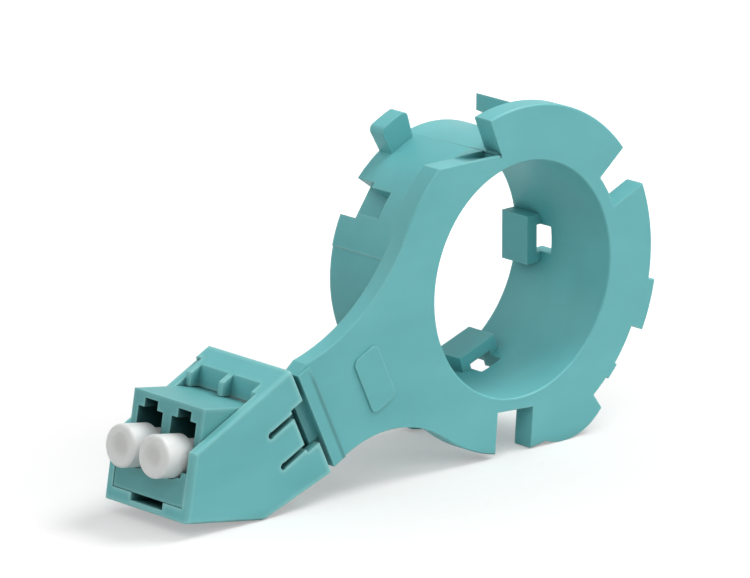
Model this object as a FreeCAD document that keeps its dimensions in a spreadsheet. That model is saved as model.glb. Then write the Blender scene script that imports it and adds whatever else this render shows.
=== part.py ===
import FreeCAD, Part
import os
import re
import Sketcher

Vector = FreeCAD.Vector
doc = FreeCAD.newDocument("SlackRingAdapter")
sheet = doc.addObject("Spreadsheet::Sheet", "Sizes")

# Driving sizes: lengths in millimetres, angles in degrees.
# The origin is under the middle of the part, on the surface it stands on.
# Ring angles run anticlockwise from +X, seen from the front (from -Y).
SIZES = {
    # Place of the ring axis and of the ring's front face
    "ring_axis_x": 18.075,
    "ring_front_y": -8.65,
    # Hub tube
    "hub_r": 17.7,
    "hub_wall": 2,
    "ring_depth": 17.6,
    "raised_rise": 0.15,
    "raised_start": 104.5,
    "raised_sweep": 62.4,
    # Broken front flange
    "flange_r": 23.1,
    "flange_thick": 3,
    "top_flange_start": 39.4,
    "top_flange_sweep": 66.6,
    "top_end_lean": 23.4,
    "arm_flange_start": 104,
    "arm_flange_sweep": 177,
    "notch_sink": 0.4,
    "notch_rim": 0.6,
    "notch_pocket_start": 4.35,
    "notch_pocket_length": 6.6,
    "notch_pocket_depth": 0.9,
    "notch_pocket_back": 3.2,
    "notch_pocket_rise": 8,
    "lobe_rise": 2.1,
    "lobe_sweep": 25.3,
    "lobe_round_r": 9,
    "lobe_peak": 298.9,
    "flare_r": 5.6,
    "flare_front": 2,
    "low_flange_drop": 0.65,
    "low_flange_sweep": 27.6,
    "bump_rise": 0.45,
    "bump_start": 8.1,
    "bump_sweep": 5.5,
    "step_flange_rise": 1.5,
    "step_flange_sweep": 16,
    "right_flange_rise": 0.35,
    "right_flange_sweep": 33,
    "slot_angle": -93.4,
    "slot_width": 6.4,
    "slot_sink": 0.4,
    "rim_chamfer": 0.15,
    # Tabs at the back of the hub
    "tab_thick": 2.4,
    "upper_tab_drop": 1.3,
    "upper_tab_round": 0.8,
    "upper_tab_start": 108,
    "upper_tab_sweep": 13,
    "foot_tab_sweep": 18,
    "finger_drop": 1.4,
    "finger_height": 2.1,
    "finger_start": 39,
    "finger_sweep": 31,
    "finger_tip_x": 8.1,
    "finger_stem_sweep": 12,
    "finger_depth": 8,
    # Inward hooks at the back of the hub
    "hook_start": 0.9,
    "hook_step": 144,
    "hook_reach": 2.5,
    "hook_width": 6.6,
    "hook_depth": 4.8,
    "hook_wall": 1.7,
    "hook_pocket_width": 5.2,
    "hook_window_length": 1.95,
    "hook_window_width": 3.7,
    # Port axis against the ring and the floor, and the bend from the ports to the arm
    "port_dx": -55.5,
    "port_height": 9.54,
    "port_tilt": 9.1,
    "port_mid_depth": 7.5,
    "bend": 35,
    # Arm plate, measured from the rear top corner of the shell
    "arm_thick": 2.4,
    "arm_gap": 0.75,
    "arm_drop": 1.45,
    "arm_reach_down": 16,
    "shoulder_r": 26,
    "shoulder_angle": 154.5,
    "arch_r": 17,
    "arch_angle": 234.4,
    "arm_axis_drop": 8.15,
    "arm_rib": 1.5,
    "collar_length": 2.2,
    "collar_rise": 0.3,
    "pad_start": 9.35,
    "pad_length": 4.4,
    "pad_top_drop": 5.7,
    "pad_height": 8.4,
    "pad_corner": 0.9,
    "pad_rise": 0.25,
    "prong_reach": 2.8,
    "prong_top_drop": 1.45,
    "prong_height": 1.9,
    "lug_reach": 0.8,
    "lug_half": 3.3,
    "lug_sink": 0.75,
    "lug_thick": 0.5,
    "lug_root_half": 4,
    # Shell, in the port frame: x runs back along the ports, z up
    "shell_half": 7.8,
    "wall": 1.25,
    "edge_round": 0.4,
    "shell_front": 1.7,
    "front_top": 1.2,
    "roof_run": 17.8,
    "underside": 7.8,
    "floor_thick": 1.75,
    "knee_x": 11.25,
    "keel_rise": 27.4,
    "seam_length": 16.3,
    "roof_front": 8.6,
    "roof_thick": 1.2,
    "skirt": 2.5,
    "far_edge_drop": 0.6,
    "far_edge_end": 2.35,
    "notch_depth": 1.5,
    "notch_rib_half": 0.45,
    "notch_outer": 5.6,
    "floor_slot_half": 3,
    "floor_slot_high": 1,
    "floor_slot_length": 4,
    "tongue_root": 6.3,
    "tongue_end": 2.2,
    "tongue_half": 2.05,
    "tongue_slit": 0.85,
    "tongue_slit_end_r": 0.5,
    "tongue_window_half": 3.4,
    # Duplex coupler
    "pitch": 6.25,
    "block_half": 6.5,
    "block_top": 6.6,
    "block_bottom": 6,
    "panel_front": 1.6,
    "panel_drop": 1.6,
    "mid_x": 10,
    "web": 0.8,
    "rear_end": 19.4,
    "rear_half": 5.95,
    "rear_top": 6.4,
    "rear_bottom": 2.9,
    "port_half": 2.3,
    "port_low": 2.4,
    "port_high": 4.6,
    "key_half": 1.2,
    "key_high": 5.8,
    "tube_r": 1.475,
    "tube_reach": 3.8,
    "tube_lip": 0.4,
    "tube_lip_r": 0.72,
    "tube_lead": 0.22,
    # Split sleeve
    "sleeve_r": 0.81,
    "sleeve_bore_r": 0.625,
    "sleeve_half": 3.35,
    "sleeve_slit": 0.3,
    # Dust plug
    "head_r": 2.8,
    "head_length": 4.45,
    "head_edge": 0.45,
    "dish_r": 1.7,
    "dish_depth": 0.4,
    "stem_r": 2.1,
    "stem_end": 8,
    "stem_bore_r": 1.75,
    "stem_bore_start": 2,
    # Fits, and how far a cutter runs past what it cuts
    "fit_gap": 0.05,
    "plug_clear": 0.1,
    "overrun": 2,
}

for row, (alias, value) in enumerate(SIZES.items(), start=1):
    sheet.set(f"A{row}", alias)
    sheet.set(f"B{row}", str(value))
    sheet.setAlias(f"B{row}", alias)
doc.recompute()

# Sizes that follow from others. The ring stands on its flange or on the lobe, whichever is lower.
DERIVED = {
    "ring_axis_height": "max(flange_r; lobe_round_r - (lobe_r - lobe_round_r) * sin(lobe_peak * 1deg))",
    "port_dz": "port_height - ring_axis_height",
    "bore_r": "hub_r - hub_wall",
    "raised_r": "hub_r + raised_rise",
    "lobe_r": "flange_r + lobe_rise",
    "low_flange_r": "flange_r - low_flange_drop",
    "bump_r": "flange_r - low_flange_drop + bump_rise",
    "step_flange_r": "flange_r + step_flange_rise",
    "right_flange_r": "flange_r + right_flange_rise",
    "slot_floor_r": "hub_r - slot_sink",
    "notch_floor": "hub_r - notch_sink",
    "upper_tab_r": "flange_r - upper_tab_drop",
    "finger_r": "flange_r - finger_drop",
    "finger_inner_r": "flange_r - finger_drop - finger_height",
    "hook_inner_r": "hub_r - hub_wall - hook_reach",
}
for row, (alias, text) in enumerate(DERIVED.items(), start=len(SIZES) + 1):
    sheet.set(f"A{row}", alias)
    sheet.set(f"B{row}", "=" + text)
    sheet.setAlias(f"B{row}", alias)
doc.recompute()

NAMES = set(SIZES) | set(DERIVED)
WORD = re.compile(r"[a-z][a-z_]*")


def formula(text):
    # Each size named in the text becomes a reference to its cell.
    return WORD.sub(lambda m: "Sizes." + m[0] if m[0] in NAMES else m[0], text)


def bind(item, bindings):
    for prop, text in bindings.items():
        item.setExpression(prop, formula(text))
    return item


def place(item, x="0", y="0", z="0", axis=None, angle="0"):
    if axis is not None:
        item.Placement = FreeCAD.Placement(Vector(), FreeCAD.Rotation(axis, 1))
        bind(item, {"Placement.Rotation.Angle": angle})
    return bind(item, {"Placement.Base.x": x, "Placement.Base.y": y, "Placement.Base.z": z})


def box(name, x, y, z):
    # Each of x, y and z is a pair: the low and the high side.
    item = doc.addObject("Part::Box", name)
    bind(item, {
        "Length": f"({x[1]}) - ({x[0]})",
        "Width": f"({y[1]}) - ({y[0]})",
        "Height": f"({z[1]}) - ({z[0]})",
    })
    return place(item, x[0], y[0], z[0])


def disc(name, radius, low, high, start="0", sweep="360"):
    # A round or a sector about the ring axis, between two depths.
    item = doc.addObject("Part::Cylinder", name)
    bind(item, {"Radius": radius, "Height": f"({high}) - ({low})", "Angle": sweep})
    return place(item, z=low, axis=Vector(0, 0, 1), angle=start)


def rod(name, radius, x, y="0", z="0"):
    # A round along the port axis, from x[0] to x[1].
    item = doc.addObject("Part::Cylinder", name)
    bind(item, {"Radius": radius, "Height": f"({x[1]}) - ({x[0]})"})
    return place(item, x[0], y, z, Vector(0, 1, 0), "90")


def peg(name, radius, x, y, z):
    # A round across the ports, from y[0] to y[1].
    item = doc.addObject("Part::Cylinder", name)
    bind(item, {"Radius": radius, "Height": f"({y[1]}) - ({y[0]})"})
    return place(item, x, y[1], z, Vector(1, 0, 0), "90")


def funnel(name, radii, x, y="0", z="0"):
    # A taper along the port axis, with its radius at x[0] and at x[1].
    item = doc.addObject("Part::Cone", name)
    bind(item, {"Radius1": radii[0], "Radius2": radii[1], "Height": f"({x[1]}) - ({x[0]})"})
    return place(item, x[0], y, z, Vector(0, 1, 0), "90")


def fuse(name, items):
    item = doc.addObject("Part::MultiFuse", name)
    item.Shapes = items
    item.Refine = True
    return item


def group(name, items):
    # Items that are turned or moved as one.
    item = doc.addObject("Part::Compound", name)
    item.Links = items
    return item


def overlap(name, items):
    item = doc.addObject("Part::MultiCommon", name)
    item.Shapes = items
    return item


def cut(name, base, tools):
    item = doc.addObject("Part::Cut", name)
    item.Base = base
    item.Tool = tools[0] if len(tools) == 1 else fuse(name + "_tools", tools)
    item.Refine = True
    return item


gauge = doc.addObject("App::FeaturePython", "Gauge")
gauge.addProperty("App::PropertyFloat", "reading")


def number(text):
    # The present value of a formula, for the first guess of a sketch.
    gauge.setExpression("reading", formula(text))
    gauge.recompute()
    return gauge.reading


def outline(name, corners):
    # A closed straight-sided sketch. Each corner is a pair of formulas.
    sketch = doc.addObject("Sketcher::SketchObject", name)
    points = [Vector(number(across), number(up), 0) for across, up in corners]
    for start, end in zip(points, points[1:] + points[:1]):
        sketch.addGeometry(Part.LineSegment(start, end), False)
    for index, (across, up) in enumerate(corners):
        after = (index + 1) % len(corners)
        sketch.addConstraint(Sketcher.Constraint("Coincident", index, 2, after, 1))
        guess = points[index]
        for kind, start, text in (("DistanceX", guess.x, across), ("DistanceY", guess.y, up)):
            held = sketch.addConstraint(Sketcher.Constraint(kind, -1, 1, index, 1, start))
            bind(sketch, {f"Constraints[{held}]": text})
    return sketch


def pull(name, sketch, direction, ahead, behind="0"):
    item = doc.addObject("Part::Extrusion", name)
    item.Base = sketch
    item.DirMode = "Custom"
    item.Dir = direction
    item.Solid = True
    return bind(item, {"LengthFwd": ahead, "LengthRev": behind})


def soften(name, base, radius, chosen, kind="Part::Fillet"):
    # Rounds or chamfers the edges of the base that the test picks out.
    doc.recompute()
    item = doc.addObject(kind, name)
    item.Base = base
    size = number(radius)
    item.Edges = [(n, size, size) for n, edge in enumerate(base.Shape.Edges, start=1) if chosen(edge)]
    return item


# Storage ring, drawn as seen from the front: x right, y up, z towards the viewer.
# The front face of the flange is at z = 0 and the hub reaches back to -ring_depth.
ring_back = "-ring_depth"
tab_front = "tab_thick - ring_depth"


def from_axis(radius, angle):
    return f"({radius}) * cos({angle})", f"({radius}) * sin({angle})"


def is_arc(edge):
    return isinstance(edge.Curve, Part.Circle)


def is_upright(edge):
    return edge.BoundBox.ZLength > edge.Length / 2


def flange(name, radius, start, sweep):
    blank = disc(name + "_blank", radius, "-flange_thick", "0", start, sweep)
    return soften(name, blank, "rim_chamfer", is_arc, "Part::Chamfer")


lobe_start = "arm_flange_start + arm_flange_sweep"
low_start = f"{lobe_start} + lobe_sweep"
step_start = f"{low_start} + low_flange_sweep"
right_start = f"{step_start} + step_flange_sweep"
hub = disc("hub", "hub_r", ring_back, "0")
hub_raised = disc("hub_raised", "raised_r", ring_back, "0", "raised_start", "raised_sweep")
# The lobe beside the foot is part of a smaller round, set off the ring axis.
lobe_sector = disc("lobe_sector", "flange_r + lobe_rise", "-flange_thick", "0", lobe_start, "lobe_sweep")
lobe_round = disc("lobe_round", "lobe_round_r", "-flange_thick", "0")
across, up = from_axis("lobe_r - lobe_round_r", "lobe_peak")
bind(lobe_round, {"Placement.Base.x": across, "Placement.Base.y": up})

# Over the raised part the hub flares out into the flange.
flare_blank = disc(
    "flare_blank",
    "flange_r",
    "-flare_front - flare_r",
    "-flare_front",
    "arm_flange_start",
    "raised_start + raised_sweep - arm_flange_start",
)
flare_round = doc.addObject("Part::Torus", "flare_round")
bind(flare_round, {"Radius1": "flange_r", "Radius2": "flare_r"})
place(flare_round, z="-flare_front - flare_r")
# Beside the top flange the arm flange ends in a flat that touches the hub.
notch = box(
    "notch",
    ("-flange_r - overrun", "0"),
    ("notch_floor", "flange_r + overrun"),
    ("-flare_front - flare_r - flange_thick", "overrun"),
)
# Behind the flat's front rim lies a shallow pocket, deepest beside the top flange.
notch_pocket_box = box(
    "notch_pocket_box",
    ("-notch_pocket_length", "0"),
    ("0", "notch_pocket_depth + notch_sink"),
    ("-notch_pocket_back", "-notch_rim"),
)
notch_pocket = group("notch_pocket", [notch_pocket_box])
pocket_floor = "notch_floor - notch_pocket_depth"
place(notch_pocket, "-notch_pocket_start", pocket_floor, "0", Vector(0, 0, 1), "-notch_pocket_rise")
arm_flange_blank = flange("arm_flange_blank", "flange_r", "arm_flange_start", "arm_flange_sweep")
# The end of the top flange leans in towards its root.
top_flange_blank = flange("top_flange_blank", "flange_r", "top_flange_start", "top_flange_sweep")
top_end_box = box(
    "top_end_box",
    ("-overrun", "0"),
    ("hub_r - flange_r - hub_wall / 4", "overrun"),
    ("-flange_thick - overrun", "overrun"),
)
top_end = group("top_end", [top_end_box])
across, up = from_axis("flange_r", "(top_flange_start + top_flange_sweep)")
place(top_end, across, up, "0", Vector(0, 0, 1), "top_end_lean")
flanges = [
    cut("flare", flare_blank, [flare_round, notch]),
    cut("flange_arm", arm_flange_blank, [notch]),
    cut("flange_top", top_flange_blank, [top_end]),
    flange("flange_foot", "flange_r", lobe_start, "lobe_sweep"),
    overlap("flange_lobe", [lobe_sector, lobe_round]),
    flange("flange_low", "low_flange_r", low_start, "low_flange_sweep"),
    flange("flange_bump", "bump_r", f"{low_start} + bump_start", "bump_sweep"),
    flange("flange_step", "step_flange_r", step_start, "step_flange_sweep"),
    flange("flange_right", "right_flange_r", right_start, "right_flange_sweep"),
]

# The tab at the foot has the flange's radius, so that the ring stands on both.
finger_front = "finger_depth - ring_depth"
finger_stem = disc("finger_stem", "finger_r", ring_back, finger_front, "finger_start", "finger_stem_sweep")
finger_blank = disc("finger_blank", "finger_r", ring_back, finger_front, "finger_start", "finger_sweep")
finger_hollow = disc(
    "finger_hollow", "finger_inner_r", f"{ring_back} - overrun", f"{finger_front} + overrun",
)
finger_trim = box(
    "finger_trim",
    ("-flange_r", "finger_tip_x"),
    ("0", "flange_r"),
    (f"{ring_back} - overrun", f"{finger_front} + overrun"),
)
upper_tab_blank = disc(
    "upper_tab_blank", "upper_tab_r", ring_back, tab_front, "upper_tab_start", "upper_tab_sweep",
)


def off_axis(edge):
    # The upright edges of a sector at its outer radius.
    middle = edge.CenterOfMass
    return is_upright(edge) and max(abs(middle.x), abs(middle.y)) > number("hub_wall")


tabs = [
    soften("upper_tab", upper_tab_blank, "upper_tab_round", off_axis),
    disc("foot_tab", "flange_r", ring_back, tab_front, "slot_angle - foot_tab_sweep / 2", "foot_tab_sweep"),
    finger_stem,
    cut("finger", finger_blank, [finger_hollow, finger_trim]),
]

# Rear top corner of the shell, first in the port frame and then from the ring axis.
corner_x = "(roof_run * cos(bend) - shell_front)"
corner_z = "(roof_run * sin(bend) + front_top)"
seam_x = f"(port_dx + {corner_x} * cos(port_tilt) + {corner_z} * sin(port_tilt))"
seam_y = f"(port_dz - {corner_x} * sin(port_tilt) + {corner_z} * cos(port_tilt))"
arm_angle = "(bend - port_tilt)"


def arm_point(along, down):
    # A point of the arm, along it from the seam and down from the shell's corner.
    across = f"{seam_x} + ({along}) * cos{arm_angle} + ({down}) * sin{arm_angle}"
    up = f"{seam_y} + ({along}) * sin{arm_angle} - ({down}) * cos{arm_angle}"
    return across, up


# The arm plate runs from the seam to the flange, with a round shoulder above and an arch below.
arm_outline = outline("arm_outline", [
    arm_point("arm_gap", "arm_drop"),
    from_axis("flange_r", "shoulder_angle"),
    from_axis("flange_r", "arch_angle"),
    arm_point("arm_gap", "arm_reach_down"),
])
arm_blank = pull("arm_blank", arm_outline, Vector(0, 0, -1), "arm_thick")
arm_rounds = []
for side in ("shoulder", "arch"):
    item = disc(side, f"{side}_r", "-arm_thick - overrun", "overrun")
    across, up = from_axis(f"flange_r + {side}_r", f"{side}_angle")
    bind(item, {"Placement.Base.x": across, "Placement.Base.y": up})
    arm_rounds.append(item)
arm_plate = cut("arm_plate", arm_blank, arm_rounds)

# Collar, pad, prong and lug are drawn square to the arm, from the shell's corner.
collar = box(
    "collar",
    ("arm_gap", "arm_gap + collar_length"),
    ("-arm_reach_down", "-arm_drop"),
    ("-arm_thick", "collar_rise"),
)
pad_box = box(
    "pad_box",
    ("pad_start", "pad_start + pad_length"),
    ("-pad_top_drop - pad_height", "-pad_top_drop"),
    ("-arm_thick", "pad_rise"),
)
pad = soften("pad", pad_box, "pad_corner", is_upright)
inner_face = "collar_rise - wall - fit_gap"
prong = box(
    "prong",
    ("-prong_reach", "arm_gap + collar_length"),
    ("-prong_top_drop - prong_height", "-prong_top_drop"),
    ("-arm_thick", inner_face),
)
lug = box(
    "lug",
    ("-lug_reach", "arm_gap + collar_length"),
    ("-arm_axis_drop - lug_half", "-arm_axis_drop + lug_half"),
    ("-lug_sink - lug_thick", "-lug_sink"),
)
lug_root = box(
    "lug_root",
    ("-lug_reach", "arm_gap + collar_length"),
    ("-arm_axis_drop - lug_root_half", "-arm_axis_drop + lug_root_half"),
    ("-arm_thick", inner_face),
)
arm_fittings = fuse("arm_fittings", [collar, pad, prong, lug, lug_root])
place(arm_fittings, seam_x, seam_y, "0", Vector(0, 0, 1), arm_angle)

# Each hook is a block inside the back rim with a pocket outside it. A narrower throat
# leads from the pocket through the block's front wall to a window before the block.
hook_front = "hook_depth - ring_depth"
blocks = []
recesses = []
for turn in range(3):
    angle = f"hook_start + {turn} * hook_step"
    block = box(
        f"hook_block_{turn}",
        ("hook_inner_r", "bore_r + (hub_r - bore_r) / 2"),
        ("-hook_width / 2", "hook_width / 2"),
        (ring_back, hook_front),
    )
    pocket = box(
        f"hook_pocket_{turn}",
        ("hook_inner_r + hook_wall", "hub_r + overrun"),
        ("-hook_pocket_width / 2", "hook_pocket_width / 2"),
        (f"{ring_back} - overrun", f"{hook_front} - hook_wall"),
    )
    throat = box(
        f"hook_throat_{turn}",
        ("hook_inner_r + hook_wall", "hub_r + overrun"),
        ("-hook_window_width / 2", "hook_window_width / 2"),
        (f"{ring_back} + hook_wall", f"{hook_front} + hook_window_length"),
    )
    turned = group(f"hook_{turn}", [block])
    hollow = fuse(f"hook_hollow_{turn}", [pocket, throat])
    place(turned, axis=Vector(0, 0, 1), angle=angle)
    place(hollow, axis=Vector(0, 0, 1), angle=angle)
    blocks.append(turned)
    recesses.append(hollow)

slot_box = box(
    "slot_box",
    ("slot_floor_r", "flange_r + lobe_r"),
    ("-slot_width / 2", "slot_width / 2"),
    ("-flange_thick", "overrun"),
)
slot = group("slot", [slot_box])
place(slot, axis=Vector(0, 0, 1), angle="slot_angle")
bore = disc("bore", "bore_r", f"{ring_back} - overrun", "overrun")
ring_blank = fuse("ring_blank", [hub, hub_raised, arm_plate, arm_fittings] + flanges + tabs)
ring_bored_blank = cut("ring_bored_blank", ring_blank, [bore])


def at_bore_mouth(edge):
    # The bore's round edge in the front face.
    return is_arc(edge) and edge.BoundBox.ZMin > -0.01 and abs(edge.Curve.Radius - number("bore_r")) < 0.01


ring_bored = soften("ring_bored", ring_bored_blank, "rim_chamfer", at_bore_mouth, "Part::Chamfer")
ring_hooked = fuse("ring_hooked", [ring_bored] + blocks)

# The arm's back is hollowed between its edges, to clear the coupler and the plugs behind it.
arm_recess_box = box(
    "arm_recess_box",
    ("-prong_reach - overrun", "pad_start - arm_rib"),
    ("arm_rib - arm_reach_down", "-prong_top_drop - prong_height - fit_gap"),
    ("-arm_thick - overrun", "rear_half + plug_clear - port_mid_depth"),
)
arm_recess = group("arm_recess", [arm_recess_box])
place(arm_recess, seam_x, seam_y, "0", Vector(0, 0, 1), arm_angle)
storage_ring = cut("storage_ring", ring_hooked, recesses + [slot, arm_recess, notch_pocket])

# Shell, in the port frame: x back along the ports, y away from the viewer, z up.
# The origin is in the plane of the port faces, midway between the two ports.
shell_side = outline("shell_side", [
    ("-shell_front", "-underside"),
    ("-shell_front", "front_top"),
    (corner_x, corner_z),
    (
        f"{corner_x} + sin(bend) * seam_length",
        f"{corner_z} - cos(bend) * seam_length",
    ),
    ("knee_x", "-underside"),
])
upright_plane = FreeCAD.Placement(Vector(), FreeCAD.Rotation(Vector(1, 0, 0), 90))
shell_side.Placement = upright_plane
shell_blank = pull("shell_blank", shell_side, Vector(0, 1, 0), "shell_half", "shell_half")


def on_shell_side(edge):
    # The slope, the front and the underside are rounded, the seam behind is not.
    bounds = edge.BoundBox
    behind = bounds.XMin > number("knee_x") - number("edge_round")
    return bounds.YLength < number("edge_round") and not behind


# The hollow follows the floor and the keel, stops under the roof and is open in front and behind.
floor_top = "floor_thick - underside"
inner_knee = "(knee_x - floor_thick * tan(keel_rise / 2))"
skirt_x = "roof_front + skirt"
under_roof = f"front_top + ({skirt_x} + shell_front) * tan(bend) - roof_thick / cos(bend)"
past_rear = "rear_end + rear_end"
ceiling = "block_top + fit_gap"
shell_hollow_side = outline("shell_hollow_side", [
    ("-shell_front - overrun", floor_top),
    (inner_knee, floor_top),
    (past_rear, f"{floor_top} + ({past_rear} - {inner_knee}) * tan(keel_rise)"),
    (past_rear, f"{under_roof} + ({past_rear} - {skirt_x}) * tan(bend)"),
    (skirt_x, under_roof),
    (skirt_x, ceiling),
    ("roof_front", ceiling),
    ("roof_front", "rear_end"),
    ("-shell_front - overrun", "rear_end"),
])
shell_hollow_side.Placement = upright_plane
inner_half = "shell_half - wall"
shell_hollow = pull("shell_hollow", shell_hollow_side, Vector(0, 1, 0), inner_half, inner_half)
keel_notch = box(
    "keel_notch",
    ("mid_x", past_rear),
    ("-rear_half - plug_clear", "rear_half + plug_clear"),
    ("-rear_bottom - plug_clear", "rear_top"),
)
floor_slot = box(
    "floor_slot",
    ("-shell_front - overrun", "floor_slot_length - shell_front"),
    ("-floor_slot_half", "floor_slot_half"),
    (f"{floor_top} - floor_slot_high", f"{floor_top} + overrun"),
)
roof_notches = []
notch_sides = {
    "near": ("-notch_outer", "-notch_rib_half"),
    "far": ("notch_rib_half", "notch_outer"),
}
for side, across in notch_sides.items():
    roof_notches.append(box(
        f"roof_notch_{side}",
        ("roof_front - overrun", "roof_front + notch_depth"),
        across,
        ("block_top - overrun", "rear_end"),
    ))

# Two slits and a window free the tongue in the near wall. They lie square to the arm.
through_wall = ("-shell_half - overrun", "wall - shell_half + fit_gap")
tongue_cuts = []
for side, low in (("upper", "tongue_half"), ("lower", "-tongue_half - tongue_slit")):
    tongue_cuts.append(box(
        f"tongue_slit_{side}",
        ("-tongue_root", "-tongue_end + overrun"),
        through_wall,
        (f"{low} - arm_axis_drop", f"{low} + tongue_slit - arm_axis_drop"),
    ))
    tongue_cuts.append(peg(
        f"tongue_slit_end_{side}",
        "tongue_slit_end_r",
        "-tongue_root",
        through_wall,
        f"{low} + tongue_slit / 2 - arm_axis_drop",
    ))
tongue_cuts.append(box(
    "tongue_window",
    ("-tongue_end", "overrun"),
    through_wall,
    ("-tongue_window_half - arm_axis_drop", "tongue_window_half - arm_axis_drop"),
))
tongue = fuse("tongue_gaps", tongue_cuts)
place(tongue, corner_x, "0", corner_z, Vector(0, 1, 0), "-bend")

# The far wall is lower than the roof, up to a step near its rear end.
far_edge_box = box(
    "far_edge_box",
    ("-roof_run - overrun", "-far_edge_end"),
    ("shell_half - wall", "shell_half + overrun"),
    ("-far_edge_drop", "overrun"),
)
far_edge = group("far_edge", [far_edge_box])
place(far_edge, corner_x, "0", corner_z, Vector(0, 1, 0), "-bend")
shell_round = soften("shell_round", shell_blank, "edge_round", on_shell_side)
adapter_shell = cut(
    "adapter_shell",
    shell_round,
    [shell_hollow, keel_notch, floor_slot, tongue, far_edge] + roof_notches,
)

# Coupler halves meet at mid_x. Each port is a square hole with a latch key above it.
SIDES = {"right": "-pitch / 2", "left": "pitch / 2"}


def port_cuts(name, start, end):
    cuts = []
    for side, y in SIDES.items():
        for part, half, high in (("port", "port_half", "port_high"), ("key", "key_half", "key_high")):
            cuts.append(box(
                f"{name}_{part}_{side}",
                (start, end),
                (f"{y} - {half}", f"{y} + {half}"),
                ("-port_low", high),
            ))
    return cuts


def tubes(name, root, tip, lip_start, lip_end, lip_radii):
    # The tubes that carry the sleeves. A tapered lip at the tip keeps each sleeve in and leads the ferrule.
    tube_list = []
    for side, y in SIDES.items():
        barrel = rod(f"{name}_tube_{side}", "tube_r", (root, tip), y)
        seat = rod(f"{name}_seat_{side}", "sleeve_r + fit_gap", (root, tip), y)
        lip = rod(f"{name}_lip_{side}", "tube_r", (lip_start, lip_end), y)
        hole = funnel(f"{name}_hole_{side}", lip_radii, (lip_start, lip_end), y)
        barrel_open = cut(f"{name}_barrel_{side}", barrel, [seat])
        lip_open = cut(f"{name}_lip_open_{side}", lip, [hole])
        tube_list.append(fuse(f"{name}_holder_{side}", [barrel_open, lip_open]))
    return tube_list


block_wide = ("-block_half", "block_half")
block = box("front_block", ("0", "mid_x"), block_wide, ("-block_bottom", "block_top"))
panel = box("front_panel", ("-panel_front", "0"), block_wide, ("-block_bottom", "-panel_drop"))
front_cuts = port_cuts("front", "-panel_front - overrun", "mid_x - web")
for side, y in SIDES.items():
    room = ("-panel_front - overrun", "0")
    through = ("mid_x - web - overrun", "mid_x + overrun")
    front_cuts.append(rod(f"head_room_{side}", "head_r + plug_clear", room, y))
    front_cuts.append(rod(f"front_web_hole_{side}", "sleeve_r + fit_gap", through, y))
front_solid = fuse("front_solid", [block, panel])
front_open = cut("front_open", front_solid, front_cuts)
port_front_body = fuse("port_front_body", [front_open] + tubes(
    "front", "mid_x - tube_reach", "mid_x", "mid_x - tube_reach", "mid_x - tube_reach + tube_lip",
    ("tube_lip_r + tube_lead", "tube_lip_r"),
))

rear_block = box(
    "rear_block",
    ("mid_x", "rear_end"),
    ("-rear_half", "rear_half"),
    ("-rear_bottom", "rear_top"),
)
rear_cuts = port_cuts("rear", "mid_x + web", "rear_end + overrun")
for side, y in SIDES.items():
    through = ("mid_x - overrun", "mid_x + web + overrun")
    rear_cuts.append(rod(f"rear_web_hole_{side}", "sleeve_r + fit_gap", through, y))
rear_open = cut("rear_open", rear_block, rear_cuts)
port_rear_body = fuse("port_rear_body", [rear_open] + tubes(
    "rear", "mid_x", "mid_x + tube_reach", "mid_x + tube_reach - tube_lip", "mid_x + tube_reach",
    ("tube_lip_r", "tube_lip_r + tube_lead"),
))

# Split sleeves, one in each pair of tubes, with the slit on top.
sleeves = {}
plugs = {}
for side, y in SIDES.items():
    span = ("mid_x - sleeve_half", "mid_x + sleeve_half")
    tube = rod(f"sleeve_tube_{side}", "sleeve_r", span, y)
    past = ("mid_x - sleeve_half - overrun", "mid_x + sleeve_half + overrun")
    hole = rod(f"sleeve_hole_{side}", "sleeve_bore_r", past, y)
    slit = box(
        f"sleeve_slit_{side}",
        past,
        (f"{y} - sleeve_slit / 2", f"{y} + sleeve_slit / 2"),
        ("0", "sleeve_r + overrun"),
    )
    sleeves[side] = cut(f"sleeve_{side}", tube, [hole, slit])

    # Dust plug: a round head with a shallow dish, and a hollow stem that goes over the tube.
    head = rod(f"plug_head_{side}", "head_r", ("-head_length - plug_clear", "-plug_clear"), y)
    front_x = number("-head_length - plug_clear")
    head_round = soften(
        f"plug_head_round_{side}",
        head,
        "head_edge",
        lambda edge: edge.Closed and edge.BoundBox.XMax < front_x + number("head_edge"),
    )
    stem = rod(f"plug_stem_{side}", "stem_r", ("-head_length / 2", "stem_end"), y)
    stem_bore = rod(f"plug_bore_{side}", "stem_bore_r", ("stem_bore_start", "stem_end + overrun"), y)
    dish_ball_r = "(dish_r * dish_r + dish_depth * dish_depth) / (2 * dish_depth)"
    dish = doc.addObject("Part::Sphere", f"plug_dish_{side}")
    bind(dish, {"Radius": dish_ball_r})
    place(dish, f"dish_depth - head_length - plug_clear - {dish_ball_r}", y)
    plug_body = fuse(f"plug_body_{side}", [head_round, stem])
    plugs[side] = cut(f"plug_{side}", plug_body, [dish, stem_bore])

# Each finished piece goes to its place in the part.
place(storage_ring, "ring_axis_x", "ring_front_y", "ring_axis_height", Vector(1, 0, 0), "90")
port_pieces = [adapter_shell, port_front_body, port_rear_body]
port_pieces += list(sleeves.values()) + list(plugs.values())
for piece in port_pieces:
    place(
        piece,
        "ring_axis_x + port_dx",
        "ring_front_y + port_mid_depth",
        "ring_axis_height + port_dz",
        Vector(0, 1, 0),
        "port_tilt",
    )
doc.recompute()

for item in doc.Objects:
    if "Invalid" in item.State or "Error" in item.State:
        raise RuntimeError(f"{item.Name} did not build: {item.State}")
pieces = [storage_ring] + port_pieces
for piece in pieces:
    shape = piece.Shape
    if shape.isNull() or not shape.isValid() or len(shape.Solids) != 1:
        raise RuntimeError(f"{piece.Label} is not one valid solid: {len(shape.Solids)} solids")

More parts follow.
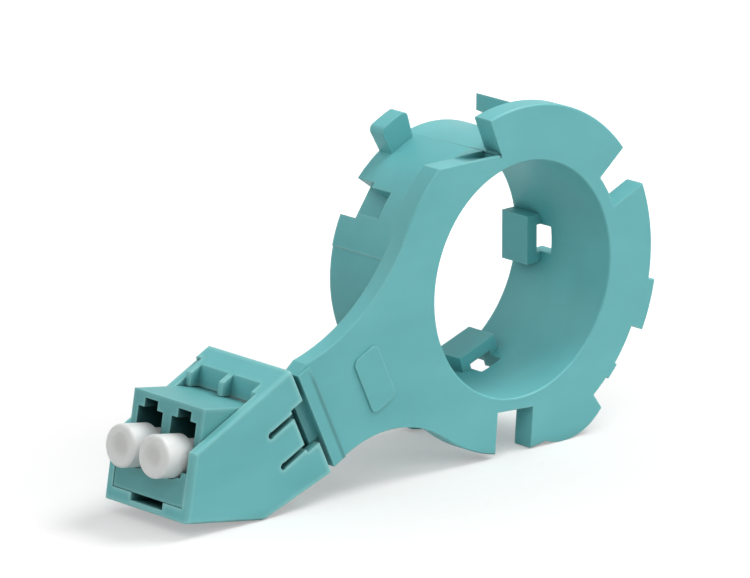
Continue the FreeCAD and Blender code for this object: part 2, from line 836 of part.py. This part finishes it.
os.makedirs("parts", exist_ok=True)
for piece in pieces:
    piece.Shape.exportStep(f"parts/{piece.Label}.step")
    bounds = piece.Shape.BoundBox
    print(piece.Label, round(piece.Shape.Volume, 1), [round(v, 2) for v in (
        bounds.XMin, bounds.XMax, bounds.YMin, bounds.YMax, bounds.ZMin, bounds.ZMax)])
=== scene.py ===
import math
import bpy
from mathutils import Matrix, Vector

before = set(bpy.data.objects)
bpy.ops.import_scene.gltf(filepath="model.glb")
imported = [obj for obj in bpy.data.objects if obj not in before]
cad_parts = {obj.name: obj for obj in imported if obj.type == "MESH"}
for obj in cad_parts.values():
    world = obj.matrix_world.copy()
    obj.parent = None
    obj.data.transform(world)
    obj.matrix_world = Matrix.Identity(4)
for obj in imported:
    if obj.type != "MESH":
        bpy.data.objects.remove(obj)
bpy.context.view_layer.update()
scene = bpy.context.scene
scene.view_settings.view_transform = "Standard"
print("frame loaded:", ", ".join(sorted(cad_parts)))

# places on the part that more than one piece is measured from
ringAxisMm = (18.075, -8.65, 23.18)
portTiltDeg = 9.1

# most of a noise texture's values lie between these two
noiseSpan = (0.3, 0.7)

# a Mix node's sockets go by number, because its vector and colour ones share their names
mixShare, vectorFrom, vectorTo, colourFrom, colourTo = 0, 4, 5, 6, 7
mixedVector, mixedColour = 1, 2


def linear(hexText):
    # sRGB hex to linear light: a straight line near black, a 2.4 power above it
    parts = [int(hexText[i:i + 2], 16) / 255 for i in (1, 3, 5)]
    curve = [c / 12.92 if c <= 0.04045 else ((c + 0.055) / 1.055) ** 2.4 for c in parts]
    return (*curve, 1.0)


def metres(sizeMm):
    return sizeMm / 1000


def perMetre(sizeMm):
    # texture scale for a feature of that size, because object coordinates are in metres
    return 1000 / sizeMm


def addNode(tree, kind, inputs=None, **settings):
    # an input is a plain value, or an output of another node to link
    node = tree.nodes.new(kind)
    for key, value in settings.items():
        setattr(node, key, value)
    for key, value in (inputs or {}).items():
        if isinstance(value, bpy.types.NodeSocket):
            tree.links.new(value, node.inputs[key])
        else:
            node.inputs[key].default_value = value
    return node


def newMaterial(name):
    made = bpy.data.materials.new(name)
    made.use_nodes = True
    made.node_tree.nodes.clear()
    return made, made.node_tree


def dressNodes(nodeNames, material):
    for nodeName in nodeNames:
        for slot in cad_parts[nodeName].material_slots:
            slot.material = material


# Ring, shell and coupler halves: one aqua polyester resin, injection moulded.
# The steel is spark eroded, so the skin is satin with a fine even grain
# and a slow drift of tone where the melt cooled. Its pale edges are partly wear and partly painted
# highlight, and the slots carry painted shade.
ringMoulding = {
    "name": "polyester-moulded-aqua-ring",
    "nodes": ("storage_ring",),
    "deepColour": "#67B9BC",
    "paleColour": "#73C4C7",
    "driftMm": 14.0,
    "driftDetail": 2.0,
    "driftRoughness": 0.45,
    "flowMm": 5.0,
    "flowDetail": 3.0,
    "flowStretch": 0.22,
    "flowTurnRad": 0.45,
    "toneSpan": (0.7, 1.3),     # drift and flow added, from the deep colour to the pale one
    "openSamples": 6,
    # pale outer edges, partly wear and partly a painted highlight where the edges catch the light; the same
    # colour paints the highlight line on the hub
    "edgeWearAndHighlightColour": "#9BDAD9",
    "edgeWearAndHighlightShare": 0.28,
    "edgePaleMm": 0.35,
    "edgeOpen": (0.95, 0.5),    # how open a point is where the pale edge starts, and where it is full
    "roundMm": 0.22,
    "roundSamples": 8,
    "roundOpen": (0.98, 0.88),
    # painted shade in slots and corners, where little sky is open
    "slotShadeColour": "#123F42",
    "slotShadeShare": 0.75,
    "slotReachMm": 4.0,
    "slotOpen": (0.62, 0.15),
    "lugShadeShare": 0.42,           # share of painted shade on the lug, which lies in the dark inside the shell
    "lugEndMm": (-11.6, -11.8),
    "hubMm": 17.8,              # radius of the hub, with a painted highlight line on a rib edge and a painted shade line in a crease
    "hubLooseMm": 0.3,
    "paleLineDeg": 166.9,
    "darkLineDeg": 104.4,
    "lineHalfMm": 0.15,
    "lineShares": (0.65, 0.8),
    "lineFadeMm": (4.0, 13.0),
    "lineStepMm": 0.01,
    # a painted shade line along the collar's edge, where the step to the arm lies in shadow
    "collarAcross": (0.8997, 0.0, 0.4364),  # along the arm, square to the collar's edge
    "collarEdgeMm": -9.66,      # where the edge lies in that direction
    "collarLineMm": (0.5, 0.15),    # half the painted shade line's width, at its foot and at its full shade
    "collarFrontMm": (-8.6, -8.64),
    "collarTopMm": (18.3, 16.6),
    "collarShadeShare": 0.4,
    "grainMm": 0.3,             # the real grain is about 0.1 mm, drawn coarser so that it shows
    "grainHeightMm": 0.012,
    "grainDetail": 1.5,
    "grainRoughness": 0.6,
    "roughness": (0.36, 0.5),
    "ior": 1.57,
    "specularLevel": 0.3,       # the fine grain scatters part of the mirror reflection
    "glowWeight": 0.08,
    "glowReachMm": 0.6,
    "glowTint": (0.7, 1.0, 1.0),
}

# the shell: the same resin, with broader pale edges, a painted highlight where its rounded edges catch the
# light
shellMoulding = {
    **ringMoulding,
    "name": "polyester-moulded-aqua-shell",
    "nodes": ("adapter_shell",),
    "edgeWearAndHighlightShare": 0.85,
    "edgePaleMm": 0.8,
    "lugShadeShare": 0.0,
}

# the coupler halves: a darker tone of the resin, and painted shade deep inside the ports
couplerMoulding = {
    **shellMoulding,
    "name": "polyester-moulded-aqua-coupler",
    "nodes": ("port_front_body", "port_rear_body"),
    "deepColour": "#5BA5A7",
    "paleColour": "#66AFB1",
    "edgeWearAndHighlightShare": 0.4,
    "edgePaleMm": 0.6,
    "slotShadeColour": "#0A3032",
    "slotShadeShare": 0.9,
    "slotReachMm": 6.0,
    "slotOpen": (0.62, 0.3),
}


def flowMarks(tree, place, s):
    # noise drawn out along the way that the melt ran
    stretched = addNode(tree, "ShaderNodeMapping", {
        "Vector": place, "Scale": (s["flowStretch"], 1.0, 1.0), "Rotation": (0.0, s["flowTurnRad"], 0.0)})
    flow = addNode(tree, "ShaderNodeTexNoise", {
        "Vector": stretched.outputs["Vector"], "Scale": perMetre(s["flowMm"]), "Detail": s["flowDetail"]})
    return flow.outputs["Fac"]


def resinColour(tree, place, flow, s):
    # a slow drift plus the flow marks, between the deep colour and the pale one
    drift = addNode(tree, "ShaderNodeTexNoise", {
        "Vector": place, "Scale": perMetre(s["driftMm"]), "Detail": s["driftDetail"],
        "Roughness": s["driftRoughness"]})
    tone = addNode(tree, "ShaderNodeMath", {0: drift.outputs["Fac"], 1: flow}, operation="ADD")
    share = addNode(tree, "ShaderNodeMapRange", {
        "Value": tone.outputs[0], "From Min": s["toneSpan"][0], "From Max": s["toneSpan"][1]})
    body = addNode(tree, "ShaderNodeMix", {
        mixShare: share.outputs["Result"], colourFrom: linear(s["deepColour"]),
        colourTo: linear(s["paleColour"])}, data_type="RGBA")
    return body.outputs[mixedColour]


def slotShade(tree, armward, s):
    # painted shade: dark in slots and corners, where little sky is open, and on the lug past the arm's end
    outward = addNode(tree, "ShaderNodeAmbientOcclusion", {
        "Distance": metres(s["slotReachMm"])}, samples=s["openSamples"])
    slot = addNode(tree, "ShaderNodeMapRange", {
        "Value": outward.outputs["AO"], "From Min": s["slotOpen"][0], "From Max": s["slotOpen"][1],
        "To Max": s["slotShadeShare"]})
    lug = addNode(tree, "ShaderNodeMapRange", {
        "Value": armward, "From Min": metres(s["lugEndMm"][0]), "From Max": metres(s["lugEndMm"][1]),
        "To Max": s["lugShadeShare"]})
    shade = addNode(tree, "ShaderNodeMath", {
        0: lug.outputs["Result"], 1: slot.outputs["Result"]}, operation="MAXIMUM")
    return shade.outputs[0]


# painted lines on the hub: the pale one is a painted highlight on a rib edge, the dark one painted shade in
# a crease
def hubLines(tree, place, s):
    # round the ring axis, x and z give the radius and the angle, and y gives the depth
    axis = [metres(v) for v in ringAxisMm]
    fromAxis = addNode(tree, "ShaderNodeVectorMath", {0: place, 1: axis}, operation="SUBTRACT")
    parts = addNode(tree, "ShaderNodeSeparateXYZ", {0: fromAxis.outputs["Vector"]})
    spread = addNode(tree, "ShaderNodeCombineXYZ", {0: parts.outputs["X"], 1: parts.outputs["Z"]})
    radius = addNode(tree, "ShaderNodeVectorMath", {0: spread.outputs["Vector"]}, operation="LENGTH")
    angle = addNode(tree, "ShaderNodeMath", {
        0: parts.outputs["Z"], 1: parts.outputs["X"]}, operation="ARCTAN2")
    onHub = addNode(tree, "ShaderNodeMath", {
        0: radius.outputs["Value"], 1: metres(s["hubMm"]), 2: metres(s["hubLooseMm"])}, operation="COMPARE")
    # the pale painted highlight line starts behind the flange and keeps one strength, the dark painted
    # shade line fades to the back
    fadeStart, fadeEnd = (metres(v) for v in s["lineFadeMm"])
    paleDepth = addNode(tree, "ShaderNodeMapRange", {
        "Value": parts.outputs["Y"], "From Min": fadeStart - metres(s["lineStepMm"]),
        "From Max": fadeStart, "To Max": s["lineShares"][0]})
    darkDepth = addNode(tree, "ShaderNodeMapRange", {
        "Value": parts.outputs["Y"], "From Min": fadeEnd,
        "From Max": fadeStart, "To Max": s["lineShares"][1]})
    shares = []
    for lineDeg, depth in ((s["paleLineDeg"], paleDepth), (s["darkLineDeg"], darkDepth)):
        line = addNode(tree, "ShaderNodeMath", {
            0: angle.outputs[0], 1: math.radians(lineDeg), 2: s["lineHalfMm"] / s["hubMm"]},
            operation="COMPARE")
        onLine = addNode(tree, "ShaderNodeMath", {
            0: onHub.outputs[0], 1: line.outputs[0]}, operation="MULTIPLY")
        share = addNode(tree, "ShaderNodeMath", {
            0: onLine.outputs[0], 1: depth.outputs["Result"]}, operation="MULTIPLY")
        shares.append(share.outputs[0])
    return shares


def collarGrooveShade(tree, place, armward, s):
    # a painted shade line where the collar meets the arm, on the front only and fading out at its top
    fromEdge = addNode(tree, "ShaderNodeMath", {
        0: armward, 1: metres(s["collarEdgeMm"])}, operation="SUBTRACT")
    offEdge = addNode(tree, "ShaderNodeMath", {0: fromEdge.outputs[0]}, operation="ABSOLUTE")
    grooveShade = addNode(tree, "ShaderNodeMapRange", {
        "Value": offEdge.outputs[0], "From Min": metres(s["collarLineMm"][0]),
        "From Max": metres(s["collarLineMm"][1]), "To Max": s["collarShadeShare"]})
    parts = addNode(tree, "ShaderNodeSeparateXYZ", {0: place})
    front = addNode(tree, "ShaderNodeMapRange", {
        "Value": parts.outputs["Y"], "From Min": metres(s["collarFrontMm"][0]),
        "From Max": metres(s["collarFrontMm"][1])})
    below = addNode(tree, "ShaderNodeMapRange", {
        "Value": parts.outputs["Z"], "From Min": metres(s["collarTopMm"][0]),
        "From Max": metres(s["collarTopMm"][1])})
    frontGrooveShade = addNode(tree, "ShaderNodeMath", {
        0: grooveShade.outputs["Result"], 1: front.outputs["Result"]}, operation="MULTIPLY")
    share = addNode(tree, "ShaderNodeMath", {
        0: frontGrooveShade.outputs[0], 1: below.outputs["Result"]}, operation="MULTIPLY")
    return share.outputs[0]


def satinSkin(tree, place, inward, s):
    # only the outer edges are rounded, the inner corners stay sharp
    rounded = addNode(tree, "ShaderNodeBevel", {"Radius": metres(s["roundMm"])}, samples=s["roundSamples"])
    plain = addNode(tree, "ShaderNodeNewGeometry")
    outer = addNode(tree, "ShaderNodeMapRange", {
        "Value": inward, "From Min": s["roundOpen"][0], "From Max": s["roundOpen"][1]})
    eased = addNode(tree, "ShaderNodeMix", {
        mixShare: outer.outputs["Result"], vectorFrom: plain.outputs["Normal"],
        vectorTo: rounded.outputs["Normal"]}, data_type="VECTOR")
    grain = addNode(tree, "ShaderNodeTexNoise", {
        "Vector": place, "Scale": perMetre(s["grainMm"]), "Detail": s["grainDetail"],
        "Roughness": s["grainRoughness"]})
    skin = addNode(tree, "ShaderNodeBump", {
        "Distance": metres(s["grainHeightMm"]), "Height": grain.outputs["Fac"],
        "Normal": eased.outputs[mixedVector]})
    return skin.outputs["Normal"]


def makeAqua(s):
    made, tree = newMaterial(s["name"])
    place = addNode(tree, "ShaderNodeTexCoord").outputs["Object"]
    # how far along the arm a point lies
    armward = addNode(tree, "ShaderNodeVectorMath", {
        0: place, 1: s["collarAcross"]}, operation="DOT_PRODUCT").outputs["Value"]
    # looking inwards from the skin finds the outer edges
    inward = addNode(tree, "ShaderNodeAmbientOcclusion", {
        "Distance": metres(s["edgePaleMm"])}, samples=s["openSamples"], inside=True, only_local=True)
    # pale outer edges: partly wear, partly a painted highlight
    edge = addNode(tree, "ShaderNodeMapRange", {
        "Value": inward.outputs["AO"], "From Min": s["edgeOpen"][0], "From Max": s["edgeOpen"][1],
        "To Max": s["edgeWearAndHighlightShare"]})
    flow = flowMarks(tree, place, s)
    paleLine, darkLine = hubLines(tree, place, s)
    edged = addNode(tree, "ShaderNodeMix", {
        mixShare: edge.outputs["Result"], colourFrom: resinColour(tree, place, flow, s),
        colourTo: linear(s["edgeWearAndHighlightColour"])}, data_type="RGBA")
    # the hub's pale line, a painted highlight
    lined = addNode(tree, "ShaderNodeMix", {
        mixShare: paleLine, colourFrom: edged.outputs[mixedColour],
        colourTo: linear(s["edgeWearAndHighlightColour"])}, data_type="RGBA")
    # painted shade: the hub's dark line, the collar's line, the slots and the lug; the darkest share wins
    darkLines = addNode(tree, "ShaderNodeMath", {
        0: darkLine, 1: collarGrooveShade(tree, place, armward, s)}, operation="MAXIMUM")
    paintedShade = addNode(tree, "ShaderNodeMath", {
        0: darkLines.outputs[0], 1: slotShade(tree, armward, s)}, operation="MAXIMUM")
    colour = addNode(tree, "ShaderNodeMix", {
        mixShare: paintedShade.outputs[0], colourFrom: lined.outputs[mixedColour],
        colourTo: linear(s["slotShadeColour"])}, data_type="RGBA")
    rough = addNode(tree, "ShaderNodeMapRange", {
        "Value": flow, "From Min": noiseSpan[0], "From Max": noiseSpan[1],
        "To Min": s["roughness"][0], "To Max": s["roughness"][1]})
    surface = addNode(tree, "ShaderNodeBsdfPrincipled", {
        "Base Color": colour.outputs[mixedColour], "Roughness": rough.outputs["Result"],
        "IOR": s["ior"], "Specular IOR Level": s["specularLevel"],
        "Normal": satinSkin(tree, place, inward.outputs["AO"], s),
        "Subsurface Weight": s["glowWeight"], "Subsurface Radius": s["glowTint"],
        "Subsurface Scale": metres(s["glowReachMm"])})
    addNode(tree, "ShaderNodeOutputMaterial", {"Surface": surface.outputs["BSDF"]})
    return made


for moulding in (ringMoulding, shellMoulding, couplerMoulding):
    dressNodes(moulding["nodes"], makeAqua(moulding))
print("aqua mouldings dressed")


# Dust plugs: natural low density polyethylene, moulded without a tint.
# It is milky and soft to the light, with a waxy skin, and painted shade makes it greyer over the hollow
# stem, where less light comes back through the thin web.
plugMoulding = {
    "name": "polyethylene-moulded-natural",
    "nodes": ("plug_left", "plug_right"),
    "milkColour": "#ECEEED",
    # painted shade over the hollow stem
    "webShadeColour": "#D8D9D7",
    "cloudColour": "#E1E4E3",
    "portMiddleMm": (-37.425, -1.15, 9.54),
    "pitchMm": 6.25,
    "webMm": (0.6, 2.0),
    "cloudMm": 2.2,
    "cloudDetail": 2.0,
    "waxMm": 0.45,              # fine wax bloom, drawn coarse enough to show
    "waxHeightMm": 0.01,
    "waxDetail": 1.0,
    "roughness": (0.3, 0.45),
    "ior": 1.51,
    "glowWeight": 0.55,
    "glowReachMm": 1.1,
    "glowTint": (1.0, 0.95, 0.9),
}


def stemDistance(tree, place, s):
    # into the port frame: move to the middle of the ports, then turn level
    middle = [metres(v) for v in s["portMiddleMm"]]
    moved = addNode(tree, "ShaderNodeVectorMath", {0: place, 1: middle}, operation="SUBTRACT")
    level = addNode(tree, "ShaderNodeVectorRotate", {
        "Vector": moved.outputs["Vector"], "Angle": math.radians(-portTiltDeg)}, rotation_type="Y_AXIS")
    parts = addNode(tree, "ShaderNodeSeparateXYZ", {0: level.outputs["Vector"]})
    # distance from the nearer port axis: fold y about the middle, take off half the pitch
    fold = addNode(tree, "ShaderNodeMath", {0: parts.outputs["Y"]}, operation="ABSOLUTE")
    across = addNode(tree, "ShaderNodeMath", {
        0: fold.outputs[0], 1: metres(s["pitchMm"]) / 2}, operation="SUBTRACT")
    both = addNode(tree, "ShaderNodeCombineXYZ", {0: across.outputs[0], 1: parts.outputs["Z"]})
    radius = addNode(tree, "ShaderNodeVectorMath", {0: both.outputs["Vector"]}, operation="LENGTH")
    return radius.outputs["Value"]


def makePlug(s):
    made, tree = newMaterial(s["name"])
    place = addNode(tree, "ShaderNodeTexCoord").outputs["Object"]
    # painted shade: greyer where the web over the hollow stem is thin
    web = addNode(tree, "ShaderNodeMapRange", {
        "Value": stemDistance(tree, place, s), "From Min": metres(s["webMm"][1]),
        "From Max": metres(s["webMm"][0])}, interpolation_type="SMOOTHSTEP")
    clouds = addNode(tree, "ShaderNodeTexNoise", {
        "Vector": place, "Scale": perMetre(s["cloudMm"]), "Detail": s["cloudDetail"]})
    milk = addNode(tree, "ShaderNodeMix", {
        mixShare: clouds.outputs["Fac"], colourFrom: linear(s["milkColour"]),
        colourTo: linear(s["cloudColour"])}, data_type="RGBA")
    colour = addNode(tree, "ShaderNodeMix", {
        mixShare: web.outputs["Result"], colourFrom: milk.outputs[mixedColour],
        colourTo: linear(s["webShadeColour"])}, data_type="RGBA")
    wax = addNode(tree, "ShaderNodeTexNoise", {
        "Vector": place, "Scale": perMetre(s["waxMm"]), "Detail": s["waxDetail"]})
    skin = addNode(tree, "ShaderNodeBump", {
        "Distance": metres(s["waxHeightMm"]), "Height": wax.outputs["Fac"]})
    rough = addNode(tree, "ShaderNodeMapRange", {
        "Value": clouds.outputs["Fac"], "From Min": noiseSpan[0], "From Max": noiseSpan[1],
        "To Min": s["roughness"][0], "To Max": s["roughness"][1]})
    surface = addNode(tree, "ShaderNodeBsdfPrincipled", {
        "Base Color": colour.outputs[mixedColour], "Roughness": rough.outputs["Result"],
        "IOR": s["ior"], "Normal": skin.outputs["Normal"],
        "Subsurface Weight": s["glowWeight"], "Subsurface Radius": s["glowTint"],
        "Subsurface Scale": metres(s["glowReachMm"])})
    addNode(tree, "ShaderNodeOutputMaterial", {"Surface": surface.outputs["BSDF"]})
    return made


dressNodes(plugMoulding["nodes"], makePlug(plugMoulding))
print("dust plugs dressed")


# Split sleeves: zirconia, ground round and slit.
# It is a dense warm white with a near-polish and fine rings from the wheel.
sleeveCeramic = {
    "name": "zirconia-ground-white",
    "nodes": ("sleeve_left", "sleeve_right"),
    "bodyColour": "#F0ECE2",
    "ringColour": "#E0DACB",
    "ringMm": 0.3948,           # wheel marks are finer, drawn coarse enough to show
    "ringHeightMm": 0.002,
    "ringStrength": 0.6,
    "ringWander": 1.5,
    "ringDetail": 2.0,
    "roughness": 0.16,
    "ior": 2.15,
}


def makeCeramic(s):
    made, tree = newMaterial(s["name"])
    place = addNode(tree, "ShaderNodeTexCoord").outputs["Object"]
    level = addNode(tree, "ShaderNodeVectorRotate", {
        "Vector": place, "Angle": math.radians(-portTiltDeg)}, rotation_type="Y_AXIS")
    # a wave texture runs through 20 radians in one unit, so it repeats every tenth of pi
    rings = addNode(tree, "ShaderNodeTexWave", {
        "Vector": level.outputs["Vector"], "Scale": perMetre(s["ringMm"]) * math.pi / 10,
        "Distortion": s["ringWander"], "Detail": s["ringDetail"]}, bands_direction="X")
    colour = addNode(tree, "ShaderNodeMix", {
        mixShare: rings.outputs["Fac"], colourFrom: linear(s["bodyColour"]),
        colourTo: linear(s["ringColour"])}, data_type="RGBA")
    skin = addNode(tree, "ShaderNodeBump", {
        "Strength": s["ringStrength"], "Distance": metres(s["ringHeightMm"]),
        "Height": rings.outputs["Fac"]})
    surface = addNode(tree, "ShaderNodeBsdfPrincipled", {
        "Base Color": colour.outputs[mixedColour], "Roughness": s["roughness"], "IOR": s["ior"],
        "Normal": skin.outputs["Normal"]})
    addNode(tree, "ShaderNodeOutputMaterial", {"Surface": surface.outputs["BSDF"]})
    return made


dressNodes(sleeveCeramic["nodes"], makeCeramic(sleeveCeramic))
print("sleeves dressed")


# Studio: a sheet of uncoated white paper, matt and a little uneven, under soft boxes.
# The paper keeps the part's shadow.
paperSheet = {
    "name": "paper-uncoated-white",
    "halfWidthM": 3.0,
    "colour": "#CBCBCA",
    "fibreColour": "#D0D0CF",
    "fibreMm": 1.5,
    "glowNear": 0.3,            # light painted on the paper under the part, kept low so that the part's shadow stays dark
    "glowFar": 0.6,             # and far from it, where it brings the paper up to white
    "glowReachM": (0.012, 0.1),
}


def seenShare(tree):
    # 1 for a ray from the camera, or one that comes by gloss or through glass, and 0 for the rest
    rays = addNode(tree, "ShaderNodeLightPath")
    cameraOrGloss = addNode(tree, "ShaderNodeMath", {
        0: rays.outputs["Is Camera Ray"], 1: rays.outputs["Is Glossy Ray"]}, operation="MAXIMUM")
    anySight = addNode(tree, "ShaderNodeMath", {
        0: cameraOrGloss.outputs[0], 1: rays.outputs["Is Transmission Ray"]}, operation="MAXIMUM")
    return anySight.outputs[0]


def makePaper(s):
    made, tree = newMaterial(s["name"])
    place = addNode(tree, "ShaderNodeTexCoord").outputs["Object"]
    fibres = addNode(tree, "ShaderNodeTexNoise", {"Vector": place, "Scale": perMetre(s["fibreMm"])})
    colour = addNode(tree, "ShaderNodeMix", {
        mixShare: fibres.outputs["Fac"], colourFrom: linear(s["colour"]),
        colourTo: linear(s["fibreColour"])}, data_type="RGBA")
    matt = addNode(tree, "ShaderNodeBsdfDiffuse", {"Color": colour.outputs[mixedColour]})
    # painted light on the paper, only where it is seen, weaker near the part
    away = addNode(tree, "ShaderNodeVectorMath", {0: place}, operation="LENGTH")
    level = addNode(tree, "ShaderNodeMapRange", {
        "Value": away.outputs["Value"], "From Min": s["glowReachM"][0], "From Max": s["glowReachM"][1],
        "To Min": s["glowNear"], "To Max": s["glowFar"]})
    strength = addNode(tree, "ShaderNodeMath", {
        0: seenShare(tree), 1: level.outputs["Result"]}, operation="MULTIPLY")
    glow = addNode(tree, "ShaderNodeEmission", {"Strength": strength.outputs[0]})
    both = addNode(tree, "ShaderNodeAddShader", {0: matt.outputs["BSDF"], 1: glow.outputs["Emission"]})
    addNode(tree, "ShaderNodeOutputMaterial", {"Surface": both.outputs["Shader"]})
    return made


half = paperSheet["halfWidthM"]
corners = [(-half, -half, 0.0), (half, -half, 0.0), (half, half, 0.0), (-half, half, 0.0)]
paperMesh = bpy.data.meshes.new("paper")
paperMesh.from_pydata(corners, [], [(0, 1, 2, 3)])
paperMesh.materials.append(makePaper(paperSheet))
paper = bpy.data.objects.new("paper", paperMesh)
scene.collection.objects.link(paper)

softBoxes = {
    "overhead": {"spotM": (0.5, -0.16, 0.82), "sizeM": 0.45, "watts": 6.1},
    "frontRight": {"spotM": (0.5, -0.9, 0.45), "sizeM": 0.6, "watts": 2.8},
    "leftFill": {"spotM": (-0.6, -0.5, 0.85), "sizeM": 0.7, "watts": 3.5},
    "backLeft": {"spotM": (-0.75, 0.65, 0.65), "sizeM": 0.9, "watts": 2.4},
}
for boxName, box in softBoxes.items():
    lamp = bpy.data.lights.new(boxName, "AREA")
    lamp.shape = "SQUARE"
    lamp.size = box["sizeM"]
    lamp.energy = box["watts"]
    lampObject = bpy.data.objects.new(boxName, lamp)
    lampObject.location = box["spotM"]
    # every box faces the part, which stands at the origin
    lampObject.rotation_euler = (-Vector(box["spotM"])).to_track_quat("-Z", "Y").to_euler()
    scene.collection.objects.link(lampObject)

# the room lights the part a little, and is white where it is seen
roomLight = {"ambient": 0.25, "seen": 1.0}
world = bpy.data.worlds.new("room")
world.use_nodes = True
room = world.node_tree
room.nodes.clear()
roomLevel = addNode(room, "ShaderNodeMapRange", {
    "Value": seenShare(room), "To Min": roomLight["ambient"], "To Max": roomLight["seen"]})
sky = addNode(room, "ShaderNodeBackground", {"Strength": roomLevel.outputs["Result"]})
addNode(room, "ShaderNodeOutputWorld", {"Surface": sky.outputs["Background"]})
scene.world = world
print("studio lit")


# Camera: a long lens, level, from the front left and a little above.
photoView = {
    "azimuthDeg": -43.2,
    "elevationDeg": 16.2,
    "standTurnDeg": 0.9,        # how far the part is rolled on its foot against the camera's level
    "asideMm": (-19.13, -1.19, 1031.3),     # right, up and back from the ring axis
    "lensMm": 384.0,
    "sensorMm": 36.0,
    "clipM": (0.05, 20.0),
}


def makeCamera(s):
    turn, rise = math.radians(s["azimuthDeg"]), math.radians(s["elevationDeg"])
    back = Vector((math.sin(turn) * math.cos(rise), -math.cos(turn) * math.cos(rise), math.sin(rise)))
    right = Vector((math.cos(turn), math.sin(turn), 0.0))
    up = back.cross(right)
    stand = Matrix.Rotation(-math.radians(s["standTurnDeg"]), 3, "Y")
    axes = stand @ Matrix((right, up, back)).transposed()
    spotMm = axes @ Vector(s["asideMm"]) + Vector(ringAxisMm)
    lens = bpy.data.cameras.new("photoView")
    lens.lens = s["lensMm"]
    lens.sensor_width = s["sensorMm"]
    lens.clip_start, lens.clip_end = s["clipM"]
    made = bpy.data.objects.new("photoView", lens)
    made.matrix_world = Matrix.Translation(metres(spotMm)) @ axes.to_4x4()
    scene.collection.objects.link(made)
    return made


scene.camera = makeCamera(photoView)
print("camera placed")
